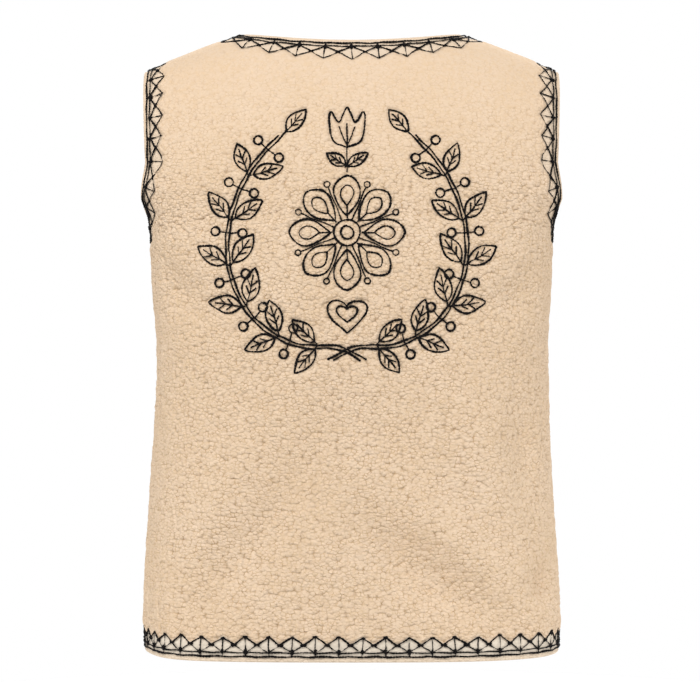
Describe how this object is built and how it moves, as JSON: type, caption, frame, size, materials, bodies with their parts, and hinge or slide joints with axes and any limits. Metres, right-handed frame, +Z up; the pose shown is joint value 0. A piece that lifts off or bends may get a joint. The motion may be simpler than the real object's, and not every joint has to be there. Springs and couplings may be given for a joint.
{
  "type": "teddy vest",
  "caption": "Sleeveless teddy-fleece vest, hollow and filled out as worn, with open neck, armholes and hem and an open front.",
  "frame": {"origin": "midway between the wearer's shoulders, level with the ends of the neckline", "axes": "+Z up along the wearer, -Y the way the wearer faces, +X to the wearer's left"},
  "size_m": [0.3856, 0.2435, 0.5647],
  "materials": {
    "back_fleece": "beige teddy fleece: short curly polyester pile on a knitted ground, with dark embroidery thread",
    "front_left_fleece": "beige teddy fleece: short curly polyester pile on a knitted ground, with dark embroidery thread",
    "front_right_fleece": "beige teddy fleece: short curly polyester pile on a knitted ground, with dark embroidery thread"
  },
  "bodies": {
    "root": {"back": "back_fleece", "front_left": "front_left_fleece", "front_right": "front_right_fleece"}
  },
  "joints": []
}
